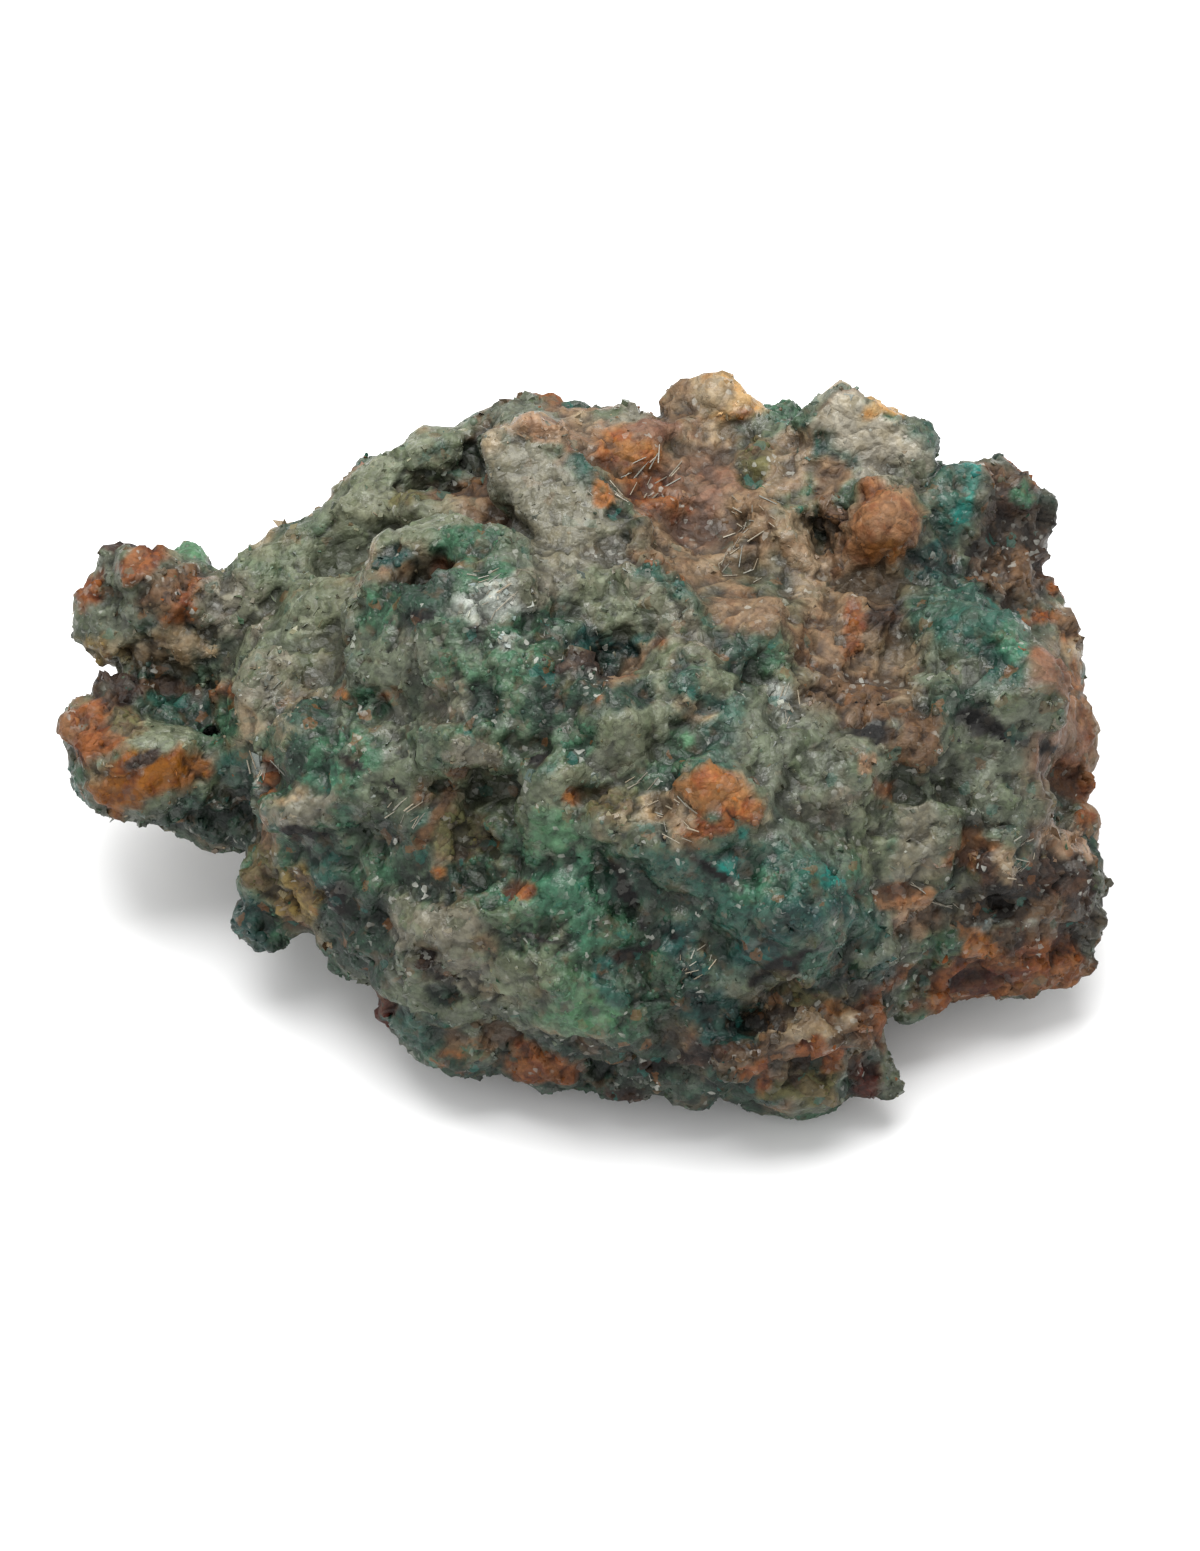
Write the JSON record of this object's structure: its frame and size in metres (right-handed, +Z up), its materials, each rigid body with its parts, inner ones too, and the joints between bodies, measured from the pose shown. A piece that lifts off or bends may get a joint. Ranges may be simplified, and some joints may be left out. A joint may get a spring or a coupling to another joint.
{
  "type": "malachite with gypsum specimen",
  "caption": "Rough hand specimen of green malachite intergrown with glassy gypsum blades and rusty iron oxide, two lobes at its left end, resting on a small flat spot.",
  "frame": {"origin": "on the flat resting spot, at table height", "axes": "+X along the longest side, towards the end without lobes; +Y away from the eye, towards the plain back; +Z up"},
  "size_m": [0.0896, 0.0627, 0.0392],
  "materials": {
    "ore": "rough crystalline crust, green with grey gypsum and rust"
  },
  "bodies": {
    "root": {"specimen": "ore"}
  },
  "joints": []
}
